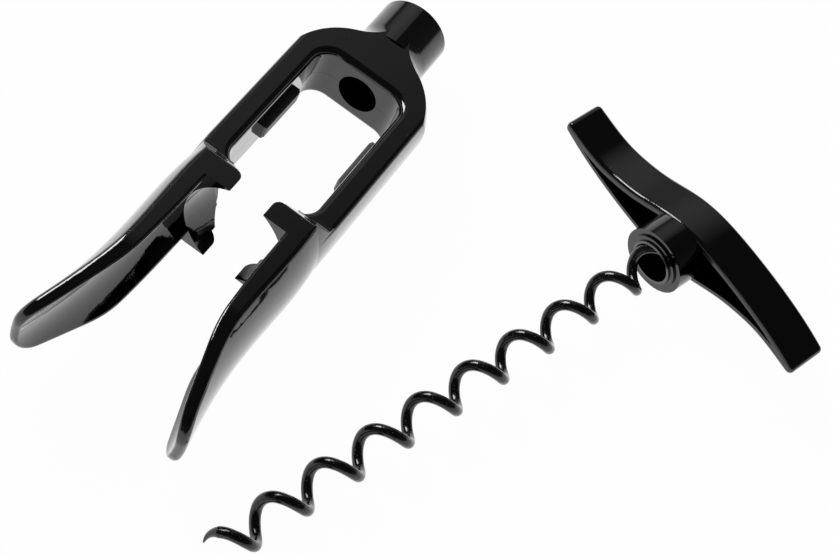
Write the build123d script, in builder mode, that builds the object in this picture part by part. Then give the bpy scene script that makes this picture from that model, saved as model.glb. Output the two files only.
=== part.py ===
from build123d import *
from math import atan2, cos, degrees, pi, radians, sin, sqrt
import os

# A cork puller in two units, drawn apart and lying side by side on a surface.
# The frame stands astride a bottle neck: a bored neck, two shoulders, two arms round an open window,
# two seats that bear on the bottle's lip, and two long legs that clasp the bottle.
# The screw is a cross handle with a hollow hub and a long open helical worm.
# Lengths are in millimetres and angles in degrees. Stations along the frame count from the neck's end.

# Where the two units lie
frame_x = -51.585
frame_y = 59.993
screw_across = 80.94
screw_along = 13.69
screw_heading = 18.5
screw_roll = 1.23

# Neck and shoulders
neck_radius = 9.1
neck_length = 10.5
neck_run_in = 3.0
bore_radius = 5.25
flare_station = 17.1
flare_radius = 12.3
shoulder_station = 32.6
shoulder_radius = 20.4

# Window, arms and crossbar
crossbar_station = 26.2
yoke_half = 8.65
yoke_edge = 17.9
yoke_end_station = 66.0
window_half = 11.95
window_corner = 4.8
window_edge_round = 1.6

# Seats on the bottle's lip
seat_top_station = 73.55
web_depth = 4.35
seat_length = 5.8
seat_edge = 4.5
seat_top_mid = 11.4
seat_low_mid = 13.0
seat_inset = 0.5
hollow_station = 67.5
hollow_radius = 2.5
root_bow = 0.45
ear_round = 2.0
ear_edge_round = 0.8
rim_round = 1.2
leg_rim_round = 1.4
inner_rim_round = 0.7

# Legs: stations, then the hollow side and the outer side at mid plane and at the rims
leg_half = 14.2
leg_stations = (seat_top_station, 96.0, 112.0, 124.0, 130.2)
leg_inner_mid = (16.4, 16.8, 17.5, 19.1, 20.2)
leg_inner_rim = (9.5, 9.7, 11.2, 13.9, 16.4)
leg_outer_mid = (18.9, 19.2, 19.9, 21.7, 22.9)
leg_outer_rim = (15.0, 15.0, 15.7, 18.4, 20.8)
taper_station = 107.0
taper_round = 40.0
tip_half = 8.5
tip_round = 7.0

# Grip pads on the arms' inner walls
pad_station = 44.2
pad_length = 15.0
pad_height = 4.4
pad_proud = 1.8
pad_sunk = 1.6
pad_bevel = 0.5
pad_clearance = 0.05

# Worm: a round wire wound to the right
wire_radius = 1.32
helix_radius = 3.68
pitch = 14.23
worm_turns = 9.2
worm_phase = 132.2
point_turns = 0.2
point_radius = 0.18
root_depth = 2.5
bend_radius = 1.8
shank_depth = 16.0
steps_per_turn = 4
shank_clearance = 0.02

# Handle and hub
hub_radius = 8.8
collar_radius = 7.2
collar_stand = 0.55
handle_front = 7.5
handle_depth = 11.0
handle_wall = 1.9
handle_edge_round = 1.1
handle_end_round = 1.4
pocket_slant = 1.1
pocket_high_reach = 30.0
pocket_low_reach = 28.0
pocket_low_start = 6.0
pocket_end = (34.0, 4.3)
handle_top = (
    (-41.5, -1.1), (-35.0, -1.9), (-28.0, -2.1), (-22.0, -0.9), (-17.0, 0.8), (-11.0, 3.8), (-6.0, 6.3),
    (0.0, 8.15), (6.0, 8.85), (12.0, 8.9), (20.0, 8.45), (30.0, 7.15), (41.5, 4.1),
)
lip_length = 2.0
core_radius = 5.3
core_depth = 10.0

# Bush inside the hub's mouth, with a flange behind the collar
bush_radius = 5.95
bush_bore_radius = 5.25
bush_stand = 0.45
flange_radius = 6.45
flange_length = 2.0
running_clearance = 0.05

# The frame rests on the legs' lower rims and on the edge of its neck
rest_tilt = degrees(atan2(leg_half - neck_radius, seat_top_station))
lay = Plane(
    origin=(frame_x, frame_y, neck_radius * cos(radians(rest_tilt))),
    x_dir=(1, 0, 0),
    z_dir=(0, sin(radians(rest_tilt)), cos(radians(rest_tilt))),
)


def across(station):
    """The plane square to the frame's axis at a station behind the neck's end."""
    return Plane(origin=lay.from_local_coords((0, -station, 0)), x_dir=lay.x_dir, z_dir=lay.y_dir)


def bulge(mid, edge, height):
    """Half width, at a height off the mid plane, of a side that bows from edge to mid."""
    sag = mid - edge
    radius = (leg_half**2 + sag**2) / (2 * sag)
    return mid - radius + sqrt(radius**2 - height**2)


def wall_section(station, inner_mid, inner_edge, outer_mid, outer_edge):
    """One bowed cross-section of a seat or a leg on the right-hand side."""
    with BuildSketch(across(station)) as profile:
        with BuildLine():
            ThreePointArc((inner_edge, -leg_half), (inner_mid, 0), (inner_edge, leg_half))
            Line((inner_edge, leg_half), (outer_edge, leg_half))
            ThreePointArc((outer_edge, leg_half), (outer_mid, 0), (outer_edge, -leg_half))
            Line((outer_edge, -leg_half), (inner_edge, -leg_half))
        make_face()
    return profile.sketch.face()


def gap_section(station, mid, edge):
    """The lens-shaped way between the two seats."""
    with BuildSketch(across(station)) as profile:
        with BuildLine():
            ThreePointArc((edge, -leg_half), (mid, 0), (edge, leg_half))
            Line((edge, leg_half), (-edge, leg_half))
            ThreePointArc((-edge, leg_half), (-mid, 0), (-edge, -leg_half))
            Line((-edge, -leg_half), (edge, -leg_half))
        make_face()
    return profile.sketch.face()


def yoke_section(station, edge):
    """The frame's section above the seats: two flat faces and two bowed sides."""
    with BuildSketch(across(station)) as profile:
        with BuildLine():
            ThreePointArc((edge, -yoke_half), (leg_outer_mid[0], 0), (edge, yoke_half))
            Line((edge, yoke_half), (-edge, yoke_half))
            ThreePointArc((-edge, yoke_half), (-leg_outer_mid[0], 0), (-edge, -yoke_half))
            Line((-edge, -yoke_half), (edge, -yoke_half))
        section = make_face()
        fillet(section.vertices(), rim_round)
    return profile.sketch.face()


# The right-hand leg with its seat
web_station = seat_top_station - web_depth
seat_outer_mid = leg_outer_mid[0] - seat_inset
seat_outer_rim = leg_outer_rim[0] - seat_inset
seat_low_station = seat_top_station + seat_length
tip_station = leg_stations[-1]
side_view = Plane(origin=lay.origin, x_dir=-lay.y_dir, z_dir=lay.x_dir)
with BuildPart() as leg:
    loft(sections=[
        wall_section(*values)
        for values in zip(leg_stations, leg_inner_mid, leg_inner_rim, leg_outer_mid, leg_outer_rim)
    ])
    # The leg narrows towards a rounded tip
    with BuildSketch(side_view):
        with BuildLine():
            FilletPolyline(
                (web_station, 0),
                (web_station, leg_half),
                (taper_station, leg_half),
                (tip_station, tip_half),
                (tip_station, 0),
                radius=(rim_round, taper_round, tip_round),
            )
            Line((tip_station, 0), (web_station, 0))
        make_face()
        mirror(about=Plane.XZ)
    extrude(amount=2 * leg_outer_mid[-1], mode=Mode.INTERSECT)
    # Both rims are rounded, from the ears to the tip
    for side, radius in ((-1, leg_rim_round), (0, inner_rim_round)):
        wall = leg.faces().sort_by(SortBy.AREA)[-2:].sort_by(Axis.X)[side]
        fillet(
            [edge for edge in wall.edges() if -lay.to_local_coords(edge @ 0.5).Y > seat_top_station + 0.01],
            radius,
        )
    loft(sections=[
        wall_section(web_station, seat_top_mid, seat_edge, seat_outer_mid, seat_outer_rim),
        wall_section(seat_low_station, seat_low_mid, seat_edge, seat_outer_mid, seat_outer_rim),
    ])
    # A solid root joins the ear to its arm
    root_inner = window_half + window_edge_round
    extrude(
        wall_section(hollow_station, root_inner + root_bow, root_inner, leg_outer_mid[0], leg_outer_rim[0]),
        amount=hollow_station - seat_top_station,
    )
    # A hollow leads from the arm's faces up to the ears' rounded edges
    with BuildSketch(side_view):
        with BuildLine():
            hollow = FilletPolyline(
                (hollow_station, yoke_half),
                (web_station, yoke_half),
                (seat_top_station, leg_half),
                (seat_top_station + ear_edge_round, leg_half),
                radius=(hollow_radius, ear_edge_round),
            )
            Polyline(
                hollow @ 1,
                (seat_top_station + ear_edge_round, 2 * leg_half),
                (hollow_station, 2 * leg_half),
                hollow @ 0,
            )
        make_face()
        mirror(about=Plane.XZ)
    extrude(amount=2 * leg_outer_mid[-1], mode=Mode.SUBTRACT)
    # The ears' upper corners are rounded
    with BuildSketch(lay.offset(yoke_half), lay.offset(-leg_half)):
        with Locations((seat_edge, -web_station)):
            Rectangle(ear_round, web_depth + ear_round, align=(Align.MIN, Align.MAX))
        with Locations((seat_edge + ear_round, -seat_top_station - ear_round)):
            Circle(ear_round, mode=Mode.SUBTRACT)
    extrude(amount=leg_half - yoke_half, mode=Mode.SUBTRACT)

# The frame, one moulding
mid_plane = Plane(origin=lay.origin, x_dir=lay.y_dir, z_dir=lay.x_dir)
right_pad_seat = Plane(
    origin=lay.from_local_coords((window_half + pad_sunk, -pad_station, 0)), x_dir=lay.y_dir, z_dir=-lay.x_dir
)
left_pad_seat = Plane(
    origin=lay.from_local_coords((-window_half - pad_sunk, -pad_station, 0)), x_dir=lay.y_dir, z_dir=lay.x_dir
)
with BuildPart() as yoke:
    extrude(yoke_section(0, yoke_edge), amount=-yoke_end_station)
    loft(sections=[
        yoke_section(yoke_end_station, yoke_edge),
        yoke_section(seat_top_station, bulge(leg_outer_mid[0], leg_outer_rim[0], yoke_half)),
    ])

with BuildPart() as straddle_frame:
    # Neck, flared shoulders and arms as a turned form
    with BuildSketch(lay):
        with BuildLine():
            Line((0, -seat_top_station), (0, 0))
            Line((0, 0), (neck_radius, 0))
            neck_side = Line((neck_radius, 0), (neck_radius, -neck_length))
            flare = TangentArc(neck_side @ 1, (flare_radius, -flare_station), tangent=neck_side % 1)
            shoulder = TangentArc(flare @ 1, (shoulder_radius, -shoulder_station), tangent=flare % 1)
            Line(shoulder @ 1, (shoulder_radius, -seat_top_station))
            Line((shoulder_radius, -seat_top_station), (0, -seat_top_station))
        make_face()
    revolve(axis=Axis(lay.origin, lay.y_dir))
    # Two flat faces and two bowed sides
    add(yoke.part, mode=Mode.INTERSECT)
    with BuildSketch(across(0)):
        Circle(neck_radius)
    extrude(amount=-neck_length - neck_run_in)
    # The open window, with rounded edges
    with BuildSketch(lay):
        with Locations((0, -(crossbar_station + web_station) / 2)):
            RectangleRounded(2 * window_half, web_station - crossbar_station, window_corner)
    extrude(amount=leg_half, both=True, mode=Mode.SUBTRACT)
    window_rims = [
        edge
        for edge in straddle_frame.edges()
        if abs(abs(lay.to_local_coords(edge @ 0.5).Z) - yoke_half) < 0.01
        and abs(lay.to_local_coords(edge @ 0.5).X) < window_half + 0.01
        and -web_station - 0.01 < lay.to_local_coords(edge @ 0.5).Y < -crossbar_station + 0.01
    ]
    fillet(window_rims, window_edge_round)
    # The way between the two seats
    loft(
        sections=[
            gap_section(web_station, seat_top_mid + seat_inset, seat_edge + seat_inset),
            gap_section(seat_low_station, seat_low_mid + seat_inset, seat_edge + seat_inset),
        ],
        mode=Mode.SUBTRACT,
    )
    extrude(gap_section(web_station, seat_top_mid, seat_edge), amount=window_corner, mode=Mode.SUBTRACT)
    # The bore that guides the worm
    with BuildSketch(across(0)):
        Circle(bore_radius)
    extrude(amount=-crossbar_station - 1, mode=Mode.SUBTRACT)
    # Seats for the grip pads
    with BuildSketch(right_pad_seat, left_pad_seat):
        Rectangle(pad_length + 2 * pad_clearance, pad_height + 2 * pad_clearance)
    extrude(amount=pad_sunk + 1, mode=Mode.SUBTRACT)
    # The right-hand half with its leg, and the other half to match
    add(leg.part)
    split(bisect_by=mid_plane, keep=Keep.TOP)
    mirror(about=mid_plane)
straddle_frame.part.label = "straddle_frame"

# Grip pads
with BuildPart() as grip_pad_right:
    with BuildSketch(right_pad_seat):
        Rectangle(pad_length, pad_height)
    extrude(amount=pad_sunk + pad_proud)
    chamfer(grip_pad_right.faces().sort_by(Axis.X)[0].edges(), pad_bevel)
grip_pad_right.part.label = "grip_pad_right"

with BuildPart() as grip_pad_left:
    with BuildSketch(left_pad_seat):
        Rectangle(pad_length, pad_height)
    extrude(amount=pad_sunk + pad_proud)
    chamfer(grip_pad_left.faces().sort_by(Axis.X)[-1].edges(), pad_bevel)
grip_pad_left.part.label = "grip_pad_left"

# The screw lies on the flank of its handle and on the last turn of its worm
heading = radians(screw_heading)
low_turn = (270 - worm_phase) / 360
rest_turn = int(worm_turns - low_turn) + low_turn
worm_half = helix_radius + wire_radius
flank_height = max(h + x * sin(radians(screw_roll)) for x, h in handle_top)
flank_fall = (flank_height - worm_half) / (pitch * rest_turn + handle_front)
hub_height = max(hub_radius, flank_height - handle_front * flank_fall)
fall = (hub_height - worm_half) / (pitch * rest_turn)
rise = Vector(sin(heading) * sqrt(1 - fall**2), cos(heading) * sqrt(1 - fall**2), fall)
level_side = Vector(cos(heading), -sin(heading), 0)
level_up = level_side.cross(rise)
hub_face = Plane(
    origin=(frame_x + screw_across, frame_y - screw_along, hub_height),
    x_dir=level_side * cos(radians(screw_roll)) + level_up * sin(radians(screw_roll)),
    z_dir=rise * -1,
)

# Course of the wire, in turns from the hub's face towards the point
slope = atan2(pitch, 2 * pi * helix_radius)
root_turn = -root_depth / pitch
point_turn = worm_turns - point_turns


def wire_at(turn):
    """A point on the wire's centre line."""
    angle = radians(worm_phase) + 2 * pi * turn
    return hub_face.from_local_coords(
        Vector(helix_radius * cos(angle), helix_radius * sin(angle), pitch * turn)
    )


def wire_along(turn):
    """The wire's direction there, towards the point."""
    angle = radians(worm_phase) + 2 * pi * turn
    ahead = Vector(-cos(slope) * sin(angle), cos(slope) * cos(angle), sin(slope))
    return hub_face.from_local_coords(ahead) - hub_face.origin


def bend_at(turned):
    """A point on the bend from the winding into the straight shank, in the hub's own axes."""
    angle = radians(worm_phase) + 2 * pi * root_turn
    back = bend_radius * (sin(slope + turned) - sin(slope))
    down = bend_radius * (cos(slope) - cos(slope + turned))
    return Vector(
        helix_radius * cos(angle) + back * sin(angle),
        helix_radius * sin(angle) - back * cos(angle),
        -root_depth - down,
    )


def wire_plane(turn):
    """The plane square to the wire."""
    return Plane(origin=wire_at(turn), z_dir=wire_along(turn))


shank = bend_at(pi / 2 - slope)

# Handle with its hub
handle_low = [(-x, -h) for x, h in handle_top]
pocket_high = [(x, h - handle_wall) for x, h in handle_top if 0 <= x <= pocket_high_reach]
pocket_low = [
    (x, h + handle_wall * pocket_slant) for x, h in handle_low if pocket_low_start <= x <= pocket_low_reach
]

with BuildPart() as handle:
    with BuildSketch(hub_face.offset(-handle_front)):
        with BuildLine():
            Spline(handle_top)
            Line(handle_top[-1], handle_low[0])
            Spline(handle_low)
            Line(handle_low[-1], handle_top[0])
        make_face()
    extrude(amount=-handle_depth)
    fillet(handle.edges().filter_by(Axis(hub_face.origin, hub_face.z_dir)), handle_end_round)
    fillet(handle.edges().filter_by(Axis(hub_face.origin, hub_face.z_dir), reverse=True), handle_edge_round)
    # Two pockets, open towards the worm, one each side of the hub
    with BuildSketch(hub_face.offset(-handle_front)):
        with BuildLine():
            Spline(pocket_high)
            Line(pocket_high[-1], pocket_end)
            Line(pocket_end, pocket_low[0])
            Spline(pocket_low)
            Line(pocket_low[-1], pocket_high[0])
        make_face()
        mirror(mirror(about=Plane.XZ, mode=Mode.PRIVATE), about=Plane.YZ)
        Circle(hub_radius, mode=Mode.SUBTRACT)
    extrude(amount=-handle_depth + handle_wall, mode=Mode.SUBTRACT)
    with BuildSketch(hub_face):
        Circle(hub_radius)
    extrude(amount=-handle_front)
    with BuildSketch(hub_face):
        Circle(collar_radius)
    extrude(amount=collar_stand)
    # The mouth, where the collar keeps the bush's flange in
    with BuildSketch(hub_face.offset(collar_stand)):
        Circle(bush_radius + running_clearance)
    extrude(amount=-lip_length, mode=Mode.SUBTRACT)
    with BuildSketch(hub_face.offset(collar_stand - lip_length)):
        Circle(flange_radius + running_clearance)
    extrude(amount=-flange_length - 2 * running_clearance, mode=Mode.SUBTRACT)
    with BuildSketch(hub_face):
        Circle(core_radius)
    extrude(amount=-core_depth, mode=Mode.SUBTRACT)
    with BuildSketch(hub_face):
        with Locations((shank.X, shank.Y)):
            Circle(wire_radius + shank_clearance)
    extrude(amount=-shank_depth, mode=Mode.SUBTRACT)
handle.part.label = "handle"

# Bush round the root of the worm
with BuildPart() as hub_bush:
    with BuildSketch(hub_face.offset(collar_stand + bush_stand)):
        Circle(bush_radius)
    extrude(amount=-bush_stand - lip_length - running_clearance)
    with BuildSketch(hub_face.offset(collar_stand - lip_length - running_clearance)):
        Circle(flange_radius)
    extrude(amount=-flange_length)
    with BuildSketch(hub_face.offset(collar_stand + bush_stand)):
        Circle(bush_bore_radius)
    extrude(amount=-bush_stand - lip_length - flange_length - running_clearance, mode=Mode.SUBTRACT)
hub_bush.part.label = "hub_bush"

# Worm: shank, bend, open winding and drawn-out point
turns = [root_turn]
while turns[-1] < point_turn - 1 / steps_per_turn:
    turns.append(turns[-1] + 1 / steps_per_turn)
turns.append(point_turn)
shank_end = hub_face.from_local_coords(Vector(shank.X, shank.Y, -shank_depth))
with BuildPart() as worm:
    with BuildLine() as course:
        Line(shank_end, hub_face.from_local_coords(shank))
        ThreePointArc(
            hub_face.from_local_coords(shank),
            hub_face.from_local_coords(bend_at((pi / 2 - slope) / 2)),
            wire_at(root_turn),
        )
        for first, last in zip(turns, turns[1:]):
            start, leave = wire_at(first), wire_along(first)
            end, arrive = wire_at(last), wire_along(last)
            span = end - start
            both = leave + arrive
            lean = 2 * (leave.dot(arrive) - 1)
            reach = (span.dot(both) - sqrt(span.dot(both) ** 2 - lean * span.dot(span))) / lean
            middle = (start + leave * reach + end - arrive * reach) * 0.5
            TangentArc(start, middle, tangent=leave)
            TangentArc(middle, end, tangent=end - arrive * reach - middle)
    with BuildSketch(Plane(origin=shank_end, z_dir=hub_face.z_dir)):
        Circle(wire_radius)
    sweep(path=course.wire())
    with BuildSketch(wire_plane(point_turn)):
        Circle(wire_radius)
    with BuildSketch(wire_plane(worm_turns - point_turns / 2)):
        Circle((wire_radius + point_radius) / 2)
    with BuildSketch(wire_plane(worm_turns)):
        Circle(point_radius)
    loft()
worm.part.label = "worm"

# The wire's volume against its section and length, and the least gap from one turn to the next
wire_volume = course.wire().length * pi * wire_radius**2
turn_gap = min((wire_at(step / 60) - wire_at(0)).length for step in range(30, 90)) - 2 * wire_radius
print("worm volume", round(worm.part.volume), "section times length", round(wire_volume))
print("least gap between turns", round(turn_gap, 2))

os.makedirs("parts", exist_ok=True)
for piece in (straddle_frame, grip_pad_left, grip_pad_right, handle, hub_bush, worm):
    box = piece.part.bounding_box()
    print(piece.part.label, round(piece.part.volume), piece.part.is_valid, box.min, box.max)
    export_step(piece.part, "parts/" + piece.part.label + ".step")
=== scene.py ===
from math import cos, radians, sin

import bpy
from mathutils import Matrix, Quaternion, Vector

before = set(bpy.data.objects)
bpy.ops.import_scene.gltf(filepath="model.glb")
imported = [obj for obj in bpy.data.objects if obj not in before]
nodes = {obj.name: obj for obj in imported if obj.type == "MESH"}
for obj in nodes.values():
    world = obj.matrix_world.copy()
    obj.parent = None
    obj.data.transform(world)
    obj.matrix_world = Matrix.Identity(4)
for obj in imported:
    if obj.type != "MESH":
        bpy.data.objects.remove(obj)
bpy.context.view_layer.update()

# A black corkscrew in two units on a white table: a moulded frame, and a cross handle with its worm.

scene = bpy.context.scene
MM = 0.001

# The photograph's frame and its camera
PHOTO_WIDTH = 833
FOCAL_PIXELS = 1880.0
SENSOR = 36.0
CAMERA_PLACE = Vector((8.665, -216.467, 383.22)) * MM
CAMERA_AIM = Vector((-14.075, 8.743, 0.0)) * MM
CAMERA_ROLL = 31.02
CAMERA_NEAR = 0.01

# The soft box at one side, in metres and watts
LAMP_PLACE = Vector((-0.69, 0.19, 0.59))
LAMP_AIM = Vector((0, 0, 0))
LAMP_WIDTH = 0.45
LAMP_HEIGHT = 0.35
LAMP_POWER = 6.5

# The room's brightness at three heights of the sky, from the table's edge to overhead
LOW_HEIGHT, LOW_LEVEL = 0.08, 0.9
WALL_HEIGHT, WALL_LEVEL = 0.2, 0.09
OVERHEAD_HEIGHT, OVERHEAD_LEVEL = 0.8, 0.035

# The side of the room that is a little paler, and where its glow fades out
PALE_WALL = Vector((-0.45, 0.65, 0.61)).normalized()
PALE_WALL_FADE = 0.9
PALE_WALL_LEVEL = 0.4

# The table top, in metres, and how much of it the camera and reflections see as plain white
TABLE_WIDTH = 6
TABLE_DROP = 0.0001
TABLE_TONE = 0.85
TABLE_WHITE = 0.98

# The clear polished film on the two large mouldings
FRAME_FILM = 0.75
HANDLE_FILM = 0.45

# The stretch of the grain's noise that carries the gloss from low to high
GRAIN_LOW = 0.3
GRAIN_HIGH = 0.7

# The frame's mid plane, where its two mould halves met, and the hair line there
FRAME_LEAN = radians(3.967)
NECK_CENTRE = Vector((-51.585, 59.993, 9.078)) * MM
LINE_HALF = 0.04 * MM
LINE_EDGE = 0.14 * MM
LINE_DEPTH = 0.05 * MM
LINE_STRENGTH = 0.6


def grey(level):
    """An even grey as a colour."""
    return (level, level, level, 1)


def add_camera():
    """The camera at the photograph's place."""
    data = bpy.data.cameras.new("photo_camera")
    camera = bpy.data.objects.new("photo_camera", data)
    scene.collection.objects.link(camera)
    data.sensor_width = SENSOR
    data.lens = FOCAL_PIXELS / PHOTO_WIDTH * SENSOR
    data.clip_start = CAMERA_NEAR
    look = (CAMERA_AIM - CAMERA_PLACE).to_track_quat("-Z", "Y")
    camera.rotation_mode = "QUATERNION"
    camera.rotation_quaternion = look @ Quaternion((0, 0, 1), radians(CAMERA_ROLL))
    camera.location = CAMERA_PLACE
    scene.camera = camera


def add_side_box():
    """The soft box that looks at the object from one side."""
    data = bpy.data.lights.new("side_box", "AREA")
    data.shape = "RECTANGLE"
    data.size = LAMP_WIDTH
    data.size_y = LAMP_HEIGHT
    data.energy = LAMP_POWER
    lamp = bpy.data.objects.new("side_box", data)
    scene.collection.objects.link(lamp)
    lamp.location = LAMP_PLACE
    lamp.rotation_euler = (LAMP_AIM - LAMP_PLACE).to_track_quat("-Z", "Y").to_euler()


def add_sky():
    """A dim room overhead, pale low down and to one side, and white behind the object."""
    sky = bpy.data.worlds.new("studio")
    scene.world = sky
    sky.use_nodes = True
    tree = sky.node_tree
    tree.nodes.clear()
    where = tree.nodes.new("ShaderNodeTexCoord")
    split = tree.nodes.new("ShaderNodeSeparateXYZ")
    tree.links.new(where.outputs["Generated"], split.inputs["Vector"])
    ramp = tree.nodes.new("ShaderNodeValToRGB")
    steps = ramp.color_ramp.elements
    steps[0].position = LOW_HEIGHT
    steps[0].color = grey(LOW_LEVEL)
    steps[1].position = WALL_HEIGHT
    steps[1].color = grey(WALL_LEVEL)
    overhead = steps.new(OVERHEAD_HEIGHT)
    overhead.color = grey(OVERHEAD_LEVEL)
    tree.links.new(split.outputs["Z"], ramp.inputs["Fac"])
    towards = tree.nodes.new("ShaderNodeVectorMath")
    towards.operation = "DOT_PRODUCT"
    towards.inputs[1].default_value = PALE_WALL
    tree.links.new(where.outputs["Generated"], towards.inputs[0])
    wall = tree.nodes.new("ShaderNodeMapRange")
    wall.inputs["From Min"].default_value = PALE_WALL_FADE
    wall.inputs["From Max"].default_value = 1
    wall.inputs["To Max"].default_value = PALE_WALL_LEVEL
    tree.links.new(towards.outputs["Value"], wall.inputs["Value"])
    room = tree.nodes.new("ShaderNodeMix")
    room.data_type = "RGBA"
    room.blend_type = "ADD"
    room.inputs["Factor"].default_value = 1
    tree.links.new(ramp.outputs["Color"], room.inputs["A"])
    tree.links.new(wall.outputs["Result"], room.inputs["B"])
    studio = tree.nodes.new("ShaderNodeBackground")
    tree.links.new(room.outputs["Result"], studio.inputs["Color"])
    white = tree.nodes.new("ShaderNodeBackground")
    white.inputs["Color"].default_value = grey(1)
    path = tree.nodes.new("ShaderNodeLightPath")
    mix = tree.nodes.new("ShaderNodeMixShader")
    tree.links.new(path.outputs["Is Camera Ray"], mix.inputs[0])
    tree.links.new(studio.outputs["Background"], mix.inputs[1])
    tree.links.new(white.outputs["Background"], mix.inputs[2])
    out = tree.nodes.new("ShaderNodeOutputWorld")
    tree.links.new(mix.outputs["Shader"], out.inputs["Surface"])


def white_table():
    """White card that the camera and reflections see nearly evenly lit, with a trace of shadow."""
    material = bpy.data.materials.new("white_table")
    material.use_nodes = True
    tree = material.node_tree
    tree.nodes.clear()
    card = tree.nodes.new("ShaderNodeBsdfDiffuse")
    card.inputs["Color"].default_value = grey(TABLE_TONE)
    glow = tree.nodes.new("ShaderNodeEmission")
    glow.inputs["Color"].default_value = grey(1)
    path = tree.nodes.new("ShaderNodeLightPath")
    seen = tree.nodes.new("ShaderNodeMath")
    seen.operation = "MAXIMUM"
    tree.links.new(path.outputs["Is Camera Ray"], seen.inputs[0])
    tree.links.new(path.outputs["Is Glossy Ray"], seen.inputs[1])
    share = tree.nodes.new("ShaderNodeMath")
    share.operation = "MULTIPLY"
    share.inputs[1].default_value = TABLE_WHITE
    tree.links.new(seen.outputs["Value"], share.inputs[0])
    mix = tree.nodes.new("ShaderNodeMixShader")
    tree.links.new(share.outputs["Value"], mix.inputs[0])
    tree.links.new(card.outputs["BSDF"], mix.inputs[1])
    tree.links.new(glow.outputs["Emission"], mix.inputs[2])
    out = tree.nodes.new("ShaderNodeOutputMaterial")
    tree.links.new(mix.outputs["Shader"], out.inputs["Surface"])
    return material


def add_floor():
    """The table top, a hair below the object."""
    bpy.ops.object.select_all(action="DESELECT")
    bpy.ops.mesh.primitive_plane_add(size=TABLE_WIDTH, location=(0, 0, -TABLE_DROP))
    floor = bpy.context.object
    floor.name = "table_top"
    floor.data.materials.append(white_table())


def new_group(name, inputs, outputs):
    """An empty shader node group with named sockets, and its two end nodes."""
    group = bpy.data.node_groups.new(name, "ShaderNodeTree")
    for label, kind in inputs:
        group.interface.new_socket(name=label, in_out="INPUT", socket_type=kind)
    for label, kind in outputs:
        group.interface.new_socket(name=label, in_out="OUTPUT", socket_type=kind)
    start = group.nodes.new("NodeGroupInput")
    end = group.nodes.new("NodeGroupOutput")
    return group, start, end


def make_skin_group():
    """The skin of a piece: a drifting colour, an uneven gloss, a fine grain and a few specks of dust."""
    group, start, end = new_group(
        "piece_skin",
        [
            ("Dark", "NodeSocketColor"),
            ("Pale", "NodeSocketColor"),
            ("Dust", "NodeSocketColor"),
            ("Gloss Low", "NodeSocketFloat"),
            ("Gloss High", "NodeSocketFloat"),
            ("Drift Scale", "NodeSocketFloat"),
            ("Grain Scale", "NodeSocketFloat"),
            ("Dust Scale", "NodeSocketFloat"),
            ("Dust Size", "NodeSocketFloat"),
        ],
        [
            ("Color", "NodeSocketColor"),
            ("Roughness", "NodeSocketFloat"),
            ("Height", "NodeSocketFloat"),
        ],
    )
    where = group.nodes.new("ShaderNodeTexCoord")
    drift = group.nodes.new("ShaderNodeTexNoise")
    drift.inputs["Detail"].default_value = 3
    group.links.new(where.outputs["Object"], drift.inputs["Vector"])
    group.links.new(start.outputs["Drift Scale"], drift.inputs["Scale"])
    grain = group.nodes.new("ShaderNodeTexNoise")
    grain.inputs["Detail"].default_value = 4
    group.links.new(where.outputs["Object"], grain.inputs["Vector"])
    group.links.new(start.outputs["Grain Scale"], grain.inputs["Scale"])
    dust = group.nodes.new("ShaderNodeTexVoronoi")
    group.links.new(where.outputs["Object"], dust.inputs["Vector"])
    group.links.new(start.outputs["Dust Scale"], dust.inputs["Scale"])
    speck = group.nodes.new("ShaderNodeMath")
    speck.operation = "LESS_THAN"
    group.links.new(dust.outputs["Distance"], speck.inputs[0])
    group.links.new(start.outputs["Dust Size"], speck.inputs[1])
    tint = group.nodes.new("ShaderNodeMix")
    tint.data_type = "RGBA"
    group.links.new(drift.outputs["Fac"], tint.inputs["Factor"])
    group.links.new(start.outputs["Dark"], tint.inputs["A"])
    group.links.new(start.outputs["Pale"], tint.inputs["B"])
    dusted = group.nodes.new("ShaderNodeMix")
    dusted.data_type = "RGBA"
    group.links.new(speck.outputs["Value"], dusted.inputs["Factor"])
    group.links.new(tint.outputs["Result"], dusted.inputs["A"])
    group.links.new(start.outputs["Dust"], dusted.inputs["B"])
    gloss = group.nodes.new("ShaderNodeMapRange")
    gloss.inputs["From Min"].default_value = GRAIN_LOW
    gloss.inputs["From Max"].default_value = GRAIN_HIGH
    group.links.new(grain.outputs["Fac"], gloss.inputs["Value"])
    group.links.new(start.outputs["Gloss Low"], gloss.inputs["To Min"])
    group.links.new(start.outputs["Gloss High"], gloss.inputs["To Max"])
    group.links.new(dusted.outputs["Result"], end.inputs["Color"])
    group.links.new(gloss.outputs["Result"], end.inputs["Roughness"])
    group.links.new(grain.outputs["Fac"], end.inputs["Height"])
    return group


def skinned_material(name, skin, values, bump_depth, bump_strength):
    """A material that wears the skin group."""
    material = bpy.data.materials.new(name)
    material.use_nodes = True
    tree = material.node_tree
    shader = tree.nodes["Principled BSDF"]
    worn = tree.nodes.new("ShaderNodeGroup")
    worn.node_tree = skin
    for label, value in values.items():
        worn.inputs[label].default_value = value
    bump = tree.nodes.new("ShaderNodeBump")
    bump.inputs["Distance"].default_value = bump_depth
    bump.inputs["Strength"].default_value = bump_strength
    tree.links.new(worn.outputs["Color"], shader.inputs["Base Color"])
    tree.links.new(worn.outputs["Roughness"], shader.inputs["Roughness"])
    tree.links.new(worn.outputs["Height"], bump.inputs["Height"])
    tree.links.new(bump.outputs["Normal"], shader.inputs["Normal"])
    return material


def polish(material, index, film, film_roughness):
    """Sets the even part of a finish: its index, and a clear polished film on top."""
    shader = material.node_tree.nodes["Principled BSDF"]
    shader.inputs["IOR"].default_value = index
    shader.inputs["Coat Weight"].default_value = film
    shader.inputs["Coat Roughness"].default_value = film_roughness


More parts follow.
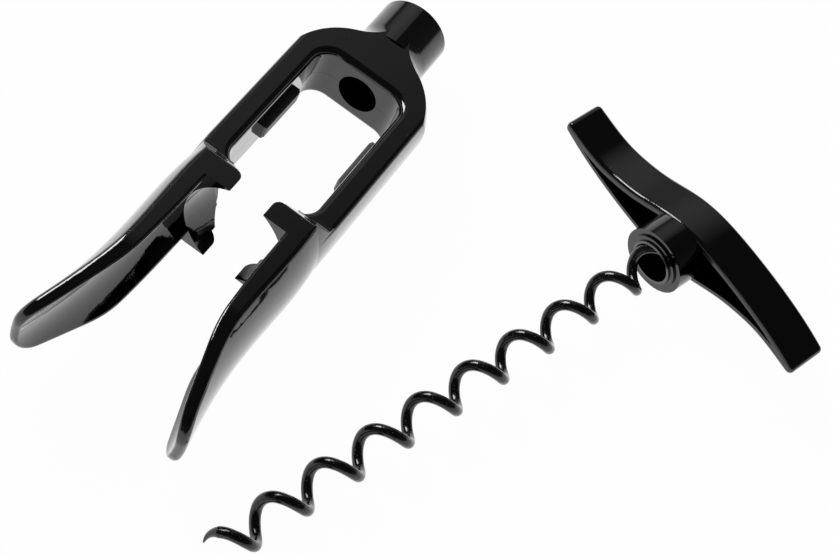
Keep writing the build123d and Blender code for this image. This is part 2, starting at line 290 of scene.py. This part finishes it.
def polished_plastic(name, skin, film):
    """Black moulded plastic with a polished face."""
    material = skinned_material(
        name,
        skin,
        {
            "Dark": (0.0025, 0.0025, 0.0027, 1),
            "Pale": (0.0040, 0.0040, 0.0043, 1),
            "Dust": grey(0.10),
            "Gloss Low": 0.05,
            "Gloss High": 0.09,
            "Drift Scale": 45.0,
            "Grain Scale": 700.0,
            "Dust Scale": 250.0,
            "Dust Size": 0.028,
        },
        bump_depth=0.01 * MM,
        bump_strength=0.2,
    )
    polish(material, index=1.4, film=film, film_roughness=0.03)
    return material


def add_parting_line(material):
    """A hair line on the frame's mid plane, where the two halves of its mould met."""
    tree = material.node_tree
    shader = tree.nodes["Principled BSDF"]
    skin_bump = tree.nodes["Bump"]
    square = Vector((0, sin(FRAME_LEAN), cos(FRAME_LEAN)))
    where = tree.nodes.new("ShaderNodeTexCoord")
    height = tree.nodes.new("ShaderNodeVectorMath")
    height.operation = "DOT_PRODUCT"
    height.inputs[1].default_value = square
    tree.links.new(where.outputs["Object"], height.inputs[0])
    off_plane = tree.nodes.new("ShaderNodeMath")
    off_plane.operation = "SUBTRACT"
    off_plane.inputs[1].default_value = NECK_CENTRE.dot(square)
    tree.links.new(height.outputs["Value"], off_plane.inputs[0])
    apart = tree.nodes.new("ShaderNodeMath")
    apart.operation = "ABSOLUTE"
    tree.links.new(off_plane.outputs["Value"], apart.inputs[0])
    line = tree.nodes.new("ShaderNodeMapRange")
    line.inputs["From Min"].default_value = LINE_HALF
    line.inputs["From Max"].default_value = LINE_EDGE
    line.inputs["To Min"].default_value = 0
    line.inputs["To Max"].default_value = FRAME_FILM
    tree.links.new(apart.outputs["Value"], line.inputs["Value"])
    groove = tree.nodes.new("ShaderNodeBump")
    groove.inputs["Distance"].default_value = LINE_DEPTH
    groove.inputs["Strength"].default_value = LINE_STRENGTH
    tree.links.new(line.outputs["Result"], groove.inputs["Height"])
    tree.links.new(skin_bump.outputs["Normal"], groove.inputs["Normal"])
    tree.links.new(groove.outputs["Normal"], shader.inputs["Normal"])
    tree.links.new(line.outputs["Result"], shader.inputs["Coat Weight"])


def pad_rubber(skin):
    """Dull black rubber."""
    material = skinned_material(
        "pad_rubber",
        skin,
        {
            "Dark": grey(0.06),
            "Pale": grey(0.09),
            "Dust": grey(0.04),
            "Gloss Low": 0.35,
            "Gloss High": 0.5,
            "Drift Scale": 200.0,
            "Grain Scale": 3000.0,
            "Dust Scale": 600.0,
            "Dust Size": 0.03,
        },
        bump_depth=0.04 * MM,
        bump_strength=0.4,
    )
    polish(material, index=1.8, film=0.0, film_roughness=0.1)
    return material


def bush_plastic(skin):
    """Dull black moulding inside the hub."""
    material = skinned_material(
        "bush_plastic",
        skin,
        {
            "Dark": grey(0.004),
            "Pale": grey(0.007),
            "Dust": grey(0.06),
            "Gloss Low": 0.16,
            "Gloss High": 0.26,
            "Drift Scale": 120.0,
            "Grain Scale": 2500.0,
            "Dust Scale": 600.0,
            "Dust Size": 0.03,
        },
        bump_depth=0.02 * MM,
        bump_strength=0.3,
    )
    polish(material, index=1.8, film=0.3, film_roughness=0.08)
    return material


def worm_coating(skin):
    """Black non-stick coat on the wire, with a fine speckle."""
    material = skinned_material(
        "worm_coating",
        skin,
        {
            "Dark": (0.0015, 0.0017, 0.0017, 1),
            "Pale": (0.006, 0.0064, 0.0064, 1),
            "Dust": (0.16, 0.17, 0.17, 1),
            "Gloss Low": 0.10,
            "Gloss High": 0.20,
            "Drift Scale": 1500.0,
            "Grain Scale": 2000.0,
            "Dust Scale": 1600.0,
            "Dust Size": 0.12,
        },
        bump_depth=0.10 * MM,
        bump_strength=0.5,
    )
    polish(material, index=1.42, film=0.35, film_roughness=0.06)
    return material


def dress_nodes():
    """Gives each carried-over piece its finish."""
    skin = make_skin_group()
    finishes = {
        "straddle_frame": polished_plastic("frame_plastic", skin, FRAME_FILM),
        "handle": polished_plastic("handle_plastic", skin, HANDLE_FILM),
        "hub_bush": bush_plastic(skin),
        "worm": worm_coating(skin),
    }
    add_parting_line(finishes["straddle_frame"])
    rubber = pad_rubber(skin)
    finishes["grip_pad_left"] = rubber
    finishes["grip_pad_right"] = rubber
    for name, material in finishes.items():
        nodes[name].material_slots[0].material = material


add_camera()
add_sky()
add_floor()
add_side_box()
dress_nodes()
scene.view_settings.view_transform = "Standard"
